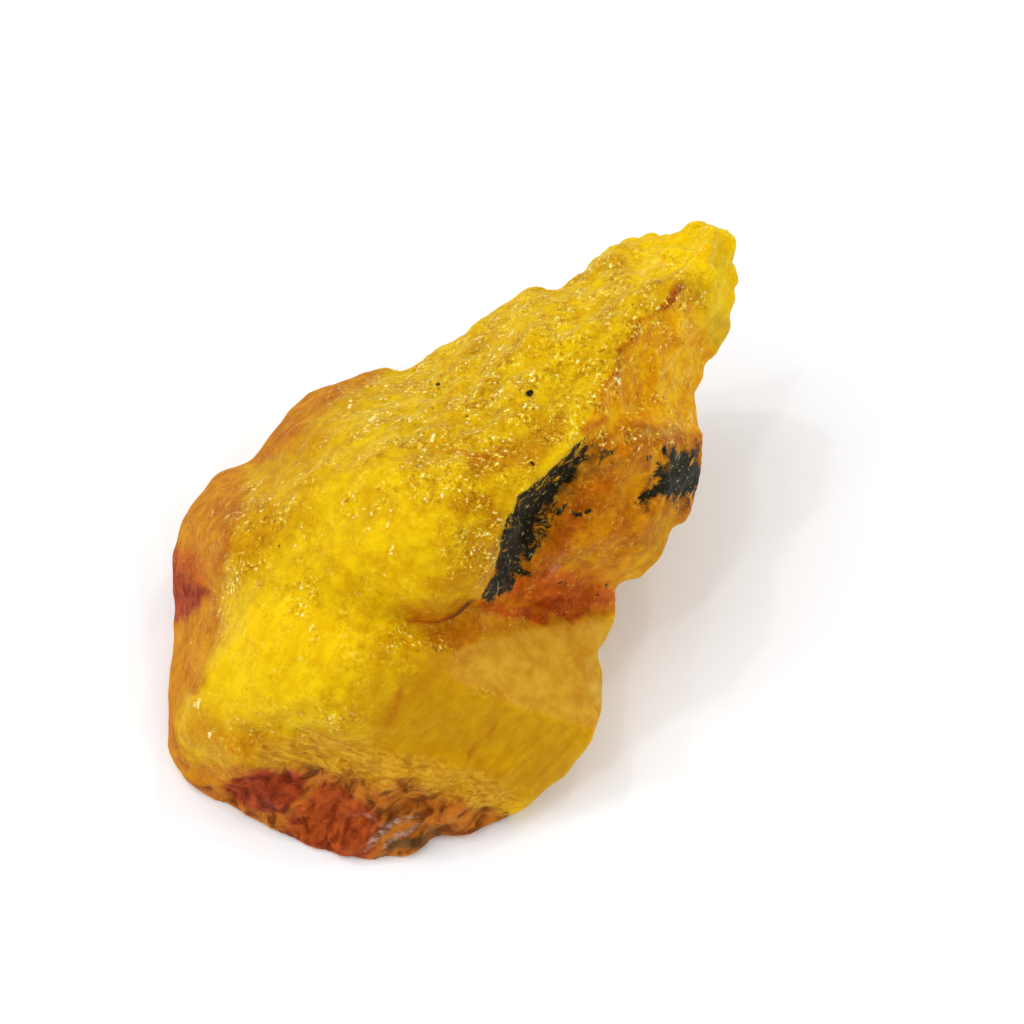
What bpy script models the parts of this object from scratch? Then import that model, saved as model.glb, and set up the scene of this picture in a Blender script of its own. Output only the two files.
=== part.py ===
"""A rough yellow sapphire: one broken lump of corundum, resting on its flat parting face.

The stone is laid out as two surfaces that share one rim: the broad face, with its crests, grooves
and crystal facets, and the hidden back, which ends in a foot. Between their points each surface
is a net of triangles. The net is subdivided, so that it flows where the stone is waxy and stays
sharp along its creased edges, roughened by each feature's grain, thinned to a facet budget, and
cut off flat at the parting face.

Points are (across, up, out) in millimetres: across the broad face to the right, up along it, and
out of it. The broad face leans back, so rest_point() turns a point to the resting frame, with
+Z up. The foot is laid out as (x, y) on the ground, in millimetres, in that resting frame.
"""

import math
from collections import namedtuple

import bmesh
import bpy
from mathutils import Matrix, Vector, geometry, noise

MM = 0.001

FACE_LEAN = math.radians(32)  # how far the broad face leans back from level
FACE_HEIGHT = 13.0  # mm from the parting face up to the broad face's zero point
LENGTH_TURN = math.radians(-47)  # turns the stone's length onto +X
FOOT_DEPTH = 3.0  # mm that the foot goes below the parting face before the cut

SUBDIVISIONS = 3
FITTING_STEPS = 4
FITTING_SHARE = 0.8
FACET_BUDGET = 9000  # triangles, before the cut
SHARP_ANGLE = math.radians(24)

GRAIN_SIZES = (3.4, 1.7, 1.0)  # mm, from wide swells to crumbs
GRAIN_SHARES = (2.0, 1.5, 0.6)

# crease: how sharp the line through the points is, from 0 to 1, or None for single points;
# grain: mm of roughness there
Feature = namedtuple("Feature", "crease grain points")

RIM = (
    (15.5, 20.2, -7.5), (16.6, 20.1, -7.5), (18.0, 19.6, -8), (18.1, 18.5, -8), (18.4, 17.3, -8),
    (17.8, 15.8, -7.5), (18.0, 14.4, -7.5), (17.2, 12.1, -7), (16.1, 11.2, -6.5), (15.9, 10.1, -6),
    (15.4, 8.6, -5.5), (15.9, 6.2, -5), (15.8, 4.1, -5), (15.4, 2.5, -5), (15.1, 1.4, -5),
    (14.2, 0.8, -4.5), (13.5, -0.8, -4.5), (12.5, -2.0, -4.5), (11.0, -2.8, -4.5), (10.5, -3.9, -5),
    (9.7, -5.9, -4.4), (9.3, -7.2, -3.8), (9.6, -9.8, -3.2), (9.0, -11.9, -2.2), (8.7, -12.9, -2.6),
    (7.8, -13.9, -2.8), (6.9, -15.1, -3), (5.5, -16.3, -3.2), (3.5, -17.5, -3.3), (2.4, -18.0, -3.4),
    (0.9, -18.5, -3.3), (-0.7, -18.6, -3.4), (-2.4, -19.7, -2.6), (-3.9, -19.7, -2.6),
    (-5.8, -20.0, -2.5), (-7.8, -19.6, -2.7), (-10.2, -18.6, -3.3), (-13.5, -17.1, -4.3),
    (-16.3, -15.5, -5.2), (-17.5, -14.1, -6), (-18.0, -12.4, -6.8), (-18.1, -10.6, -7.6),
    (-17.9, -8.6, -8), (-17.7, -6.5, -8.4), (-17.6, -4.3, -8.2), (-17.7, -2.3, -8), (-17.6, -0.4, -8),
    (-17.0, 1.5, -8), (-15.8, 3.2, -8.5), (-14.5, 4.3, -8.5), (-12.9, 4.9, -8.5), (-11.7, 6.4, -8.5),
    (-9.5, 8.8, -8.5), (-7.8, 9.9, -8.5), (-4.7, 10.8, -8.5), (-3.1, 10.6, -8), (-1.3, 11.8, -7.5),
    (0.6, 12.9, -7), (3.1, 14.9, -7), (5.2, 16.2, -7), (6.8, 15.9, -7), (8.6, 17.1, -7),
    (9.6, 18.1, -7.5), (11.9, 19.3, -7.5), (13.6, 19.3, -7.5),
)
RIM_CREASE = 0.15
RIM_GRAIN = 0.1

FACE = {
    "arm crest": Feature(0.45, 0.25, (
        (16.6, 18.6, -4.6), (15.0, 16.9, -2.4), (13.1, 15.0, -0.4), (10.9, 12.2, 1.6), (9.4, 9.4, 3.4),
        (8.1, 6.9, 5.0), (6.9, 5.3, 6.0), (5.2, 3.8, 6.6))),
    "wall top": Feature(0.9, 0.2, (
        (5.2, 3.8, 6.6), (4.1, 2.4, 6.9), (3.7, 0.7, 6.7), (3.0, -0.7, 6.3), (2.3, -2.3, 5.7),
        (1.8, -3.5, 4.9))),
    "wall foot": Feature(0.6, 0.35, (
        (8.7, 5.6, 3.8), (7.2, 4.0, 3.1), (5.7, 2.1, 2.7), (5.0, 0.3, 2.4), (4.2, -1.4, 2.2),
        (2.9, -3.4, 2.1))),
    "dent": Feature(None, 0.2, ((0.6, -1.0, 7.2), (1.8, 0.3, 6.8), (1.9, -1.3, 6.1))),
    "under groove": Feature(0.7, 0.15, (
        (-3.4, -4.6, 4.8), (-1.5, -5.3, 3.8), (0.3, -4.9, 3.2), (1.8, -4.0, 2.8), (4.4, -4.4, -0.2),
        (6.9, -4.7, -2.1), (9.1, -4.6, -3.8))),
    "facet top": Feature(0.3, 0.03, (
        (-0.8, -6.4, 4.6), (1.5, -6.2, 2.9), (5.0, -6.2, 0.2), (8.4, -6.3, -2.4))),
    "prism ridge": Feature(1.0, 0.03, (
        (-3.1, -6.9, 6.2), (-0.6, -8.1, 5.15), (1.9, -9.4, 3.7), (4.4, -10.4, 2.1), (6.9, -11.2, 0.5),
        (8.4, -11.8, -0.5))),
    "lower facet": Feature(None, 0.03, ((-2.4, -11.0, 4.1), (1.0, -12.4, 1.9), (5.4, -13.8, -0.7))),
    "crust edge": Feature(0.5, 0.4, (
        (-11.0, -12.7, 2.2), (-8.8, -12.4, 3.3), (-6.3, -12.8, 3.7), (-3.1, -13.6, 2.6), (0.3, -14.2, 0.9),
        (3.0, -15.4, -0.9), (4.3, -16.4, -2.1))),
    "crust foot": Feature(0.3, 0.45, (
        (-9.4, -14.0, 1.0), (-6.4, -14.8, 1.6), (-2.8, -15.3, 1.1), (0.3, -15.7, -0.4), (2.6, -16.6, -1.9))),
    "root": Feature(None, 0.5, (
        (-11.0, -15.9, -1.6), (-8.5, -16.8, -1.2), (-5.0, -17.2, -0.6), (-1.8, -17.5, -1.1),
        (0.6, -17.2, -1.7))),
    "toe ridge": Feature(0.5, 0.05, (
        (-3.1, -6.9, 6.2), (-4.4, -8.6, 6.3), (-5.6, -9.8, 5.9), (-6.3, -11.1, 5.2))),
    "toe edge": Feature(0.8, 0.1, (
        (-15.6, -14.6, -3.2), (-14.3, -15.1, -1.8), (-12.9, -14.8, -0.2), (-11.8, -13.9, 1.2),
        (-11.0, -12.7, 2.2))),
    "toe step": Feature(0.5, 0.15, (
        (-14.0, -15.8, -4.2), (-12.6, -15.6, -2.8), (-11.1, -14.7, -1.2), (-10.0, -13.5, 0.8))),
    "side edge": Feature(0.4, 0.1, (
        (-16.8, -13.0, -2.2), (-16.7, -11.2, -0.8), (-15.9, -9.5, 1.2), (-14.7, -7.6, 2.8),
        (-12.9, -5.5, 4.0), (-10.7, -3.4, 4.8))),
    "toe": Feature(None, 0.12, (
        (-14.2, -12.4, 1.0), (-12.6, -10.4, 3.4), (-9.4, -9.8, 5.0), (-10.4, -6.8, 5.9), (-7.6, -5.8, 6.6),
        (-7.4, -8.8, 6.1), (-5.0, -6.6, 6.5))),
    "toe valley": Feature(0.2, 0.15, (
        (-8.4, -2.4, 5.2), (-7.0, -3.9, 5.5), (-5.2, -4.7, 5.2), (-3.4, -4.6, 4.8))),
    "belly": Feature(None, 0.12, (
        (-9.2, -0.8, 4.6), (-7.5, 1.8, 5.0), (-5.6, -1.2, 6.8), (-3.0, 0.8, 7.8), (-3.4, -2.8, 7.0),
        (0.2, 0.2, 8.0), (-1.5, 3.5, 7.2), (1.5, 3.2, 7.4), (0.4, -2.8, 6.8), (-1.4, -4.2, 6.2))),
    "heel": Feature(None, 0.1, (
        (-15.2, 0.0, -0.6), (-13.0, 1.8, 0.8), (-16.0, -2.4, -2.6), (-12.5, -2.2, 2.6), (-10.5, 1.0, 3.0),
        (-16.2, -6.2, -3.0), (-16.9, -9.0, -4.0), (-15.0, -4.0, -1.0))),
    "belly rim": Feature(0.2, 0.12, (
        (-9.4, 3.2, 3.2), (-7.6, 4.1, 4.0), (-5.6, 4.6, 4.9), (-3.5, 4.9, 5.9))),
    "shoulder groove": Feature(0.4, 0.15, (
        (-12.4, 4.5, -5.0), (-10.7, 4.6, -1.4), (-8.7, 5.4, 0.6), (-6.4, 6.2, 1.9), (-4.2, 6.6, 3.1))),
    "shoulder": Feature(None, 0.2, (
        (-10.0, 6.6, -2.8), (-7.8, 7.4, -1.2), (-7.2, 8.8, -4.0), (-5.0, 8.4, -1.4), (-4.6, 9.8, -4.6),
        (-2.0, 7.6, 1.4), (-2.6, 9.6, -3.4))),
    "arm": Feature(None, 0.4, (
        (-0.6, 9.6, -1.8), (1.9, 7.8, 3.4), (3.1, 11.6, -1.0), (6.2, 12.8, -0.4), (5.0, 8.6, 3.6),
        (9.4, 14.4, -0.8), (11.9, 16.6, -2.6), (14.2, 18.2, -4.6), (1.8, 5.6, 6.3))),
    "arm flank": Feature(None, 0.3, (
        (17.0, 16.2, -4.8), (15.6, 14.1, -3.0), (16.4, 12.8, -5.4), (13.6, 11.2, -1.4), (13.3, 8.8, -1.2),
        (11.2, 8.6, 1.0))),
    "shelf edge": Feature(0.3, 0.25, (
        (9.8, 6.4, 3.4), (11.2, 6.6, 2.4), (13.1, 6.8, 0.8), (15.0, 6.6, -2.4))),
    "shelf": Feature(None, 0.25, (
        (9.9, 4.2, 2.9), (11.4, 4.4, 2.2), (8.6, 1.0, 2.2), (11.8, 1.0, 0.8), (14.0, 1.8, -1.6),
        (7.2, -1.6, 1.4), (10.3, -1.4, -0.8), (5.2, -3.0, 0.9), (8.6, -3.2, -1.7))),
    "hollow": Feature(None, 0.3, ((12.6, 2.9, 0.3), (13.4, 4.3, -0.3), (14.8, 4.6, -2.2))),
}

FOOT = (
    (-16.2, -2.5), (-15.8, 4), (-12.8, 7.6), (-7.6, 9.4), (-0.8, 9.6), (4.4, 7.4), (6.4, 2.4),
    (6.6, -3.6), (4.8, -8.6), (1.6, -10.8), (-3, -11.8), (-8.6, -10.8), (-13, -8),
)
FOOT_CREASE = 0.6
FOOT_GRAIN = 0.25

BACK = {
    "keel": Feature(0.3, 0.32, (
        (15.8, 17.2, -12.5), (12.6, 13.6, -14.0), (9.0, 10.0, -15.5), (5.8, 7.4, -16.4))),
    "arm back": Feature(None, 0.32, ((13.4, 17.8, -11.5), (9.0, 14.6, -12.0), (4.4, 12.0, -13.0))),
    "right side": Feature(None, 0.32, (
        (16.2, 13.6, -11.0), (14.0, 9.0, -11.0), (13.4, 4.0, -10.5), (11.4, 0.0, -10.5), (8.9, -6.0, -8.5),
        (8.4, -10.0, -7.0), (6.2, -14.6, -5.2))),
    "rear": Feature(None, 0.32, (
        (0.6, 10.8, -13.0), (-4.0, 9.2, -13.0), (-8.5, 7.2, -13.0), (-12.6, 3.4, -12.8),
        (-16.0, -0.4, -12.0))),
}


def rest_point(point):
    """A point on the broad face or the back, in the resting frame, its length not yet turned onto +X."""
    return Matrix.Rotation(FACE_LEAN, 3, "X") @ Vector(point) + Vector((0, 0, FACE_HEIGHT))


def face_point(rest):
    """The opposite of rest_point()."""
    return Matrix.Rotation(-FACE_LEAN, 3, "X") @ (Vector(rest) - Vector((0, 0, FACE_HEIGHT)))


class Net:
    """The cage of the stone: points with their grain, and triangles between them."""

    def __init__(self):
        self.bm = bmesh.new()
        self.crease = self.bm.edges.layers.float.new("crease_edge")
        self.grain = self.bm.verts.layers.float.new("grain")
        self.rim = self.add_points(RIM, RIM_GRAIN)

    def add_points(self, points, grain):
        made = []
        for point in points:
            vert = self.bm.verts.new(point)
            vert[self.grain] = grain
            made.append(vert)
        return made

    def add_surface(self, features, facing):
        """Spans the rim with triangles through the features' points, along their creased lines."""
        verts = list(self.rim)
        lines = [(self.rim + self.rim[:1], RIM_CREASE)]
        known = {}
        for feature in features.values():
            line = []
            for point in feature.points:
                if point not in known:
                    known[point] = self.add_points((point,), feature.grain)[0]
                    verts.append(known[point])
                line.append(known[point])
            if feature.crease is not None:
                lines.append((line, feature.crease))
        index = {vert: i for i, vert in enumerate(verts)}
        edges = [(index[a], index[b]) for line, _ in lines for a, b in zip(line, line[1:])]
        flat = [vert.co.xy for vert in verts]
        spanned = geometry.delaunay_2d_cdt(flat, edges, [], 1, 1e-6)
        original = [verts[ids[0]] for ids in spanned[3]]
        for corners in spanned[2]:
            triangle = [original[i] for i in corners]
            self.bm.faces.new(triangle if facing > 0 else triangle[::-1])
        for line, crease in lines:
            for ends in zip(line, line[1:]):
                self.bm.edges.get(ends)[self.crease] = crease


def cage():
    """The closed cage, in the resting frame."""
    net = Net()
    net.add_surface(FACE, 1)
    ground = [tuple(face_point((x, y, -FOOT_DEPTH))) for x, y in FOOT]
    foot = Feature(FOOT_CREASE, FOOT_GRAIN, (*ground, ground[0]))
    net.add_surface({"foot": foot, **BACK}, -1)
    for vert in net.bm.verts:
        vert.co = rest_point(vert.co)
    bmesh.ops.recalc_face_normals(net.bm, faces=net.bm.faces)
    return net.bm


def modified(bm, kind, **settings):
    """The bmesh after one modifier; the old one is freed."""
    mesh = bpy.data.meshes.new("working")
    bm.to_mesh(mesh)
    bm.free()
    obj = bpy.data.objects.new("working", mesh)
    bpy.context.scene.collection.objects.link(obj)
    modifier = obj.modifiers.new("step", kind)
    for name, value in settings.items():
        setattr(modifier, name, value)
    bpy.context.view_layer.update()
    made = bmesh.new()
    made.from_object(obj, bpy.context.evaluated_depsgraph_get())
    bpy.data.objects.remove(obj)
    return made


def subdivided(bm):
    return modified(bm, "SUBSURF", levels=SUBDIVISIONS, render_levels=SUBDIVISIONS)


def drawn_through_points(bm):
    """The subdivided cage, first moved so that its surface goes through its own points."""
    aims = [vert.co.copy() for vert in bm.verts]
    for _ in range(FITTING_STEPS):
        tried = subdivided(bm.copy())
        tried.verts.ensure_lookup_table()
        for i, vert in enumerate(bm.verts):
            vert.co += (aims[i] - tried.verts[i].co) * FITTING_SHARE
        tried.free()
    return subdivided(bm)


def roughen(bm):
    """Moves each vertex along its normal by noise, as far as its grain."""
    grain = bm.verts.layers.float["grain"]
    bm.normal_update()
    moves = []
    for vert in bm.verts:
        swell = sum(
            share * noise.noise(vert.co / size + Vector((7.3, 1.9, 4.1)) * size)
            for size, share in zip(GRAIN_SIZES, GRAIN_SHARES)
        )
        moves.append(vert.normal * vert[grain] * swell)
    for vert, move in zip(bm.verts, moves):
        vert.co += move


def cut_parting_face(bm):
    """Cuts the stone off flat at the ground and closes the cut with one face."""
    geometry_in = bm.verts[:] + bm.edges[:] + bm.faces[:]
    cut = bmesh.ops.bisect_plane(
        bm, geom=geometry_in, plane_co=(0, 0, 0), plane_no=(0, 0, -1), clear_outer=True
    )
    rim = [e for e in cut["geom_cut"] if isinstance(e, bmesh.types.BMEdge)]
    bmesh.ops.edgeloop_fill(bm, edges=rim)
    bmesh.ops.triangulate(bm, faces=bm.faces)
    bmesh.ops.recalc_face_normals(bm, faces=bm.faces)


def settle(bm):
    """Turns the length onto +X, sets the origin below the middle of the box, and scales to metres."""
    bmesh.ops.rotate(bm, verts=bm.verts, cent=(0, 0, 0), matrix=Matrix.Rotation(LENGTH_TURN, 3, "Z"))
    xs = [v.co.x for v in bm.verts]
    ys = [v.co.y for v in bm.verts]
    centre = Vector(((min(xs) + max(xs)) / 2, (min(ys) + max(ys)) / 2, 0))
    bmesh.ops.translate(bm, verts=bm.verts, vec=-centre)
    bmesh.ops.scale(bm, verts=bm.verts, vec=(MM, MM, MM))


def corundum():
    """Translucent yellow corundum."""
    material = bpy.data.materials.new("yellow_corundum")
    material.use_nodes = True
    shader = material.node_tree.nodes["Principled BSDF"]
    shader.inputs["Base Color"].default_value = (0.83, 0.5, 0.02, 1)
    shader.inputs["Roughness"].default_value = 0.3
    shader.inputs["Metallic"].default_value = 0
    shader.inputs["IOR"].default_value = 1.77
    return material


def main():
    for obj in list(bpy.data.objects):
        bpy.data.objects.remove(obj)
    bm = drawn_through_points(cage())
    roughen(bm)
    triangles = sum(len(face.verts) - 2 for face in bm.faces)
    bm = modified(bm, "DECIMATE", ratio=min(1, FACET_BUDGET / triangles))
    cut_parting_face(bm)
    settle(bm)
    mesh = bpy.data.meshes.new("sapphire")
    bm.to_mesh(mesh)
    bm.free()
    mesh.shade_smooth()
    mesh.set_sharp_from_angle(angle=SHARP_ANGLE)
    mesh.materials.append(corundum())
    bpy.context.scene.collection.objects.link(bpy.data.objects.new("sapphire", mesh))


main()
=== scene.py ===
"""A rough yellow sapphire, dressed: its fine surface, its stains and its crusts.

The broad face has its own frame, in millimetres: across to the right, up along it, and out of it.
Stains, finishes, painted glints and painted shade are laid out there. Everything else is in the resting
frame.
"""

import math
from collections import namedtuple

import bmesh
import bpy
import numpy as np
from mathutils import Matrix, Vector, noise


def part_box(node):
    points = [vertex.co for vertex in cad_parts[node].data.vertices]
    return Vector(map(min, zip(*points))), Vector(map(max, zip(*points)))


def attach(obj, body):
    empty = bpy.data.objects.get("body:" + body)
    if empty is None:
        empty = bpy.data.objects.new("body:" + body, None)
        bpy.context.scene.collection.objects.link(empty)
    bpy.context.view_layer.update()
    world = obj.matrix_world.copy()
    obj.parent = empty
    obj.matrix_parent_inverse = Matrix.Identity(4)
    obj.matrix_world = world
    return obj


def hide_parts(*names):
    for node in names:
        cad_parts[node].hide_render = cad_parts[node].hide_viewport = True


MM = 0.001
TINY = 1e-12  # keeps a level edge from a division by zero

FACE_LEAN = math.radians(32)  # how far the broad face leans back from level
FACE_HEIGHT = 13.0  # mm from the flat face up to the broad face's zero point
LENGTH_TURN = math.radians(-47)  # turns the stone's length onto +X
MIDDLE = (4.272, 1.814, 0.0)  # mm, the middle of the turned stone's box, which goes to the origin

FACE_TO_REST = (
    Matrix.Scale(MM, 4)
    @ Matrix.Translation(-Vector(MIDDLE))
    @ Matrix.Rotation(LENGTH_TURN, 4, "Z")
    @ Matrix.Translation((0, 0, FACE_HEIGHT))
    @ Matrix.Rotation(FACE_LEAN, 4, "X")
)
FACE_TURN = FACE_TO_REST.to_3x3().normalized()
FACE_OUT = FACE_TURN @ Vector((0, 0, 1))

MERGE = 1e-7  # m, corners closer than this are one
GROUND = 1e-6  # m, corners lower than this are in the flat face
RIDGE_ANGLE = math.radians(32)  # edges sharper than this stay a little crisp
RIDGE_CREASE = 0.35
GROUND_CREASE = 0.9
ROUNDING = 2  # how many times the facets are divided as they are rounded off
GRAIN_VOXEL = 0.225  # mm, the fine surface's mesh
GROUND_MARGIN = 0.7  # mm, the relief comes in over this height above the flat face
# The face's frame, squeezed so that noise on it draws out into long shards and fibres
SHARD_SQUEEZE = np.diag((1.0, 0.6, 1.0))
FIBRE_SQUEEZE = np.array(((0.4, -1.6, 0), (0.15, 1.6, 0), (0, 0, 1.0)))

# How far the surface faces out of the broad face, from -1 to 1
FRONT_RISE = (-0.65, -0.25)  # where the broad face's finishes come in
STEEP_FALL = (0.1, 0.6)  # where the steep slopes end

MILK_AND_SHEEN_RISE = (-3.5, 2.5)  # mm across, where the top facet turns milky and takes its painted reflection
DENT_SHADE_AMBER = 0.4  # how amber the painted shade in the dents is
TIP_SMOOTHNESS = 0.55  # how much of its sugar the tip loses

# A line of stain or finish: points are (across, up, half width), edge is how far it fades, in mm
Line = namedtuple("Line", "strength edge points")
# A patch with an outline of (across, up) points
Patch = namedtuple("Patch", "strength edge outline")

# The parts of the broad face, each with a finish of its own
TOP_FACET = Patch(1.0, 0.5, (
    (1.4, -6.4), (4.0, -5.8), (7.5, -5.2), (11.0, -4.9), (11.0, -10.8), (9.1, -12.0), (6.9, -11.2),
    (4.4, -10.4), (1.9, -9.4), (-0.4, -8.4), (-2.4, -7.6), (-1.2, -7.0), (0.2, -6.8)))
LOW_FACET = Patch(1.0, 1.6, (
    (-1.6, -7.8), (-0.2, -8.2), (1.9, -9.4), (4.4, -10.4), (6.9, -11.2), (9.0, -12.0), (8.0, -14.2),
    (5.6, -16.4), (3.0, -16.4), (0.3, -14.4), (-3.1, -13.7), (-5.4, -12.9), (-4.4, -10.0)))
TOE = Patch(1.0, 1.2, (
    (-12.2, -4.0), (-10.0, -3.2), (-7.6, -4.4), (-5.6, -5.8), (-6.0, -7.0), (-7.4, -8.4), (-8.8, -9.8),
    (-10.6, -10.8), (-12.0, -12.0), (-13.4, -13.2), (-15.6, -13.2), (-16.6, -11.6), (-16.3, -10.2),
    (-15.3, -9.0), (-14.6, -7.6), (-13.7, -6.6), (-12.9, -5.2)))
BELLY = Patch(1.0, 1.6, (
    (-9.6, 0.5), (-8.2, 3.2), (-5.0, 4.2), (-1.6, 3.4), (0.6, 1.4), (0.8, -1.2), (-0.6, -3.4),
    (-3.6, -4.4), (-7.0, -3.2), (-9.0, -1.6)))
BROW = Patch(0.55, 1.6, (
    (-14.2, 3.6), (-10.6, 5.6), (-8, 9.6), (-4, 11.6), (1, 9), (3, 2), (2.2, -3), (-0.4, -2.6),
    (-1.4, 1.6), (-5, 4.0), (-8.6, 3.2), (-9.8, -0.6), (-12.6, -3.0), (-14.6, -2.0)))
HEEL = Patch(1.0, 1.3, (
    (-19, 3), (-16.5, 6), (-13.4, 5.6), (-12.4, 3.4), (-13.4, 0.4), (-14.0, -2.4), (-14.2, -5.2),
    (-14.8, -7.6), (-15.8, -9.4), (-16.9, -10.6), (-17.2, -12.8), (-15.8, -14.0), (-12.6, -13.8),
    (-11.0, -14.6), (-17, -17), (-20, -8)))
HEEL_GLOW = Patch(0.5, 2.4, (
    (-14.0, 4.8), (-12.4, 6.4), (-9.6, 8.2), (-6.2, 8.2), (-6.8, 5.6), (-9.2, 3.2), (-9.8, 0.6),
    (-11.0, -1.6), (-12.7, -3.2), (-14.0, -6.0), (-14.6, -2.4)))
TOE_GLOW = Patch(0.62, 1.8, (
    (-17, -9.2), (-15.6, -10.0), (-13.4, -10.6), (-10.4, -11.4), (-10.6, -14.4), (-15.6, -14.4),
    (-17.4, -12.4)))
SHOULDER = Patch(0.85, 1.3, (
    (-14.0, 5.4), (-12.6, 8.0), (-9.0, 11.4), (-4.0, 12.2), (-4.2, 10.2), (-6.4, 9.0), (-8.2, 7.6),
    (-9.8, 5.4), (-12.4, 4.0)))
ARM = Patch(1.0, 1.6, (
    (-6.0, 11.6), (-5.0, 6.4), (-3.0, 3.6), (-0.4, 2.0), (0.6, -1.4), (2.2, -2.8), (4.2, 2.2), (6.6, 5.2),
    (9.0, 7.6), (11.0, 10.6), (14.0, 14.0), (19, 16), (19, 21), (8, 20), (0, 14)))
# A painted highlight: a lighter lemon patch on the top of the arm
ARM_HIGHLIGHT = Patch(0.6, 1.8, (
    (3.0, 10.6), (6.0, 14.8), (9.6, 17.0), (10.2, 14.5), (7.2, 11.4), (4.5, 9.5)))
FLANK = Patch(1.0, 0.6, (
    (8.4, 6.2), (8.9, 8.0), (9.2, 9.2), (9.8, 10.4), (12.0, 10.6), (15.0, 10.4), (17.4, 10.0),
    (17.4, 6.0), (12.4, 5.6), (10.0, 5.6)))
HIGH_FLANK = Patch(0.75, 1.0, (
    (9.0, 8.6), (9.8, 10.4), (10.5, 11.2), (10.9, 12.5), (11.8, 13.9), (12.9, 14.6), (14.4, 16.2),
    (15.4, 15.6), (16.6, 13.0), (17.4, 11.6), (17.4, 9.0), (12.0, 8.6)))
TIP = Patch(1.0, 1.6, (
    (11.4, 15.6), (13.2, 17.0), (15.6, 16.6), (16.8, 14.6), (19.4, 13.6), (19.4, 21), (11.0, 20.4)))
SHELF = Patch(1.0, 0.8, (
    (8.6, 6.3), (10.6, 7.4), (13.6, 7.2), (17.2, 6.8), (17.0, 2.0), (15.2, 0.6), (13.8, -1.8),
    (11.6, -3.4), (10.2, -4.8), (6.9, -4.9), (4.4, -4.4), (1.8, -3.8), (3.6, 0.0), (4.6, 2.4),
    (6.6, 3.9)))
SHELF_EDGE = Patch(0.45, 1.2, (
    (12.6, 1.6), (14.2, 2.2), (17.0, 1.8), (16.0, 0.0), (13.8, -2.2), (11.2, -3.6), (10.4, -2.2),
    (11.6, -0.4)))
SHELF_FOOT = Patch(0.75, 1.6, (
    (2.4, -3.6), (3.4, -1.8), (5.0, -1.4), (5.6, -0.2), (7.2, -1.6), (9.6, -2.2), (10.6, -3.6),
    (9.4, -4.6), (6.4, -5.0), (4.0, -4.4)))
UNDER_CRACK = Patch(0.75, 1.5, (
    (-3.6, -4.2), (-2.2, -3.6), (0.4, -3.4), (1.8, -3.2), (9.9, -4.6), (9.8, -6.2), (4.5, -6.4),
    (2.4, -7.0), (1.0, -8.0), (-0.8, -7.2), (-2.2, -5.8)))
ROOT = Patch(1.0, 0.5, (
    (-19, -14.8), (-16.6, -15.2), (-14.4, -15.5), (-12.9, -15.0), (-11.6, -14.2), (-10.6, -13.8),
    (-6.4, -14.2), (-2.8, -14.9), (0.3, -15.7), (2.6, -16.8), (5, -18.4), (-2, -21.5), (-14, -20)))
FIBRE_BAND = Patch(1.0, 1.2, (
    (-12.4, -13.4), (-11.0, -12.4), (-9.2, -11.8), (-6.3, -12.5), (-3.1, -13.3), (-0.4, -13.9),
    (2.2, -14.8), (4.6, -16.4), (2.8, -17.2), (0.6, -16.4), (-1.6, -15.5), (-4.4, -14.9), (-8.0, -14.3),
    (-10.6, -14.2)))
# Stains, and the scratches of the facets
RUST = (
    Patch(0.75, 1.5, (
        (-18.6, 0.8), (-17.2, -0.1), (-15.9, -0.7), (-14.9, -2.2), (-14.9, -3.3), (-16.1, -4.7),
        (-17.4, -5.6), (-18.8, -5.2))),
    Line(0.9, 0.7, ((1.9, -4.0, 0.15), (3.4, -4.3, 0.4), (5.8, -4.9, 0.4))),
    SHELF_FOOT,
    Line(1.0, 1.0, ((6.0, -3.6, 0.5), (8.0, -3.9, 0.8), (9.8, -3.4, 0.4))),
    Line(0.8, 0.6, ((7.0, -4.6, 0.4), (7.8, -5.0, 0.2))),
    Line(0.55, 1.8, ((5.4, -2.2, 1.0), (6.8, 0.0, 1.1), (8.4, 2.6, 0.8), (10.0, 4.4, 0.6))),
    Line(0.45, 1.4, ((-4.4, -16.2, 0.5), (-1.6, -16.6, 0.6), (1.6, -17.0, 0.4))),
    Line(0.4, 1.6, ((2.0, -14.6, 0.4), (4.6, -15.3, 0.4))),
    Line(0.8, 1.1, ((13.1, 14.5, 0.3), (14.1, 15.5, 0.45), (14.9, 16.2, 0.2))),
    Line(0.7, 0.8, ((8.4, 6.6, 0.3), (9.6, 7.3, 0.3))),
    Line(0.65, 1.1, ((10.4, 11.0, 0.3), (11.6, 13.2, 0.35), (13.0, 14.5, 0.2))),
    Line(0.6, 1.1, ((9.0, 7.6, 0.2), (9.6, 9.4, 0.3), (10.4, 11.0, 0.3))),
    Line(0.65, 1.0, ((-0.2, 5.6, 0.25), (1.6, 5.2, 0.3), (3.4, 5.3, 0.1))),
    Line(0.8, 0.8, ((-2.8, -4.9, 0.2), (-1.4, -5.1, 0.2), (0.2, -4.8, 0.3), (1.6, -3.7, 0.2))),
    Line(0.5, 0.7, ((-14.0, -13.0, 0.3), (-13.6, -13.2, 0.2))),
    Line(0.45, 1.2, ((-12.4, 4.9, 0.3), (-9.4, 5.4, 0.2))),
    Line(0.5, 1.6, ((-17.6, -8.0, 0.4), (-17.8, -11.4, 0.5), (-17.2, -14.2, 0.4), (-15.4, -15.4, 0.2))),
)
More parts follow.
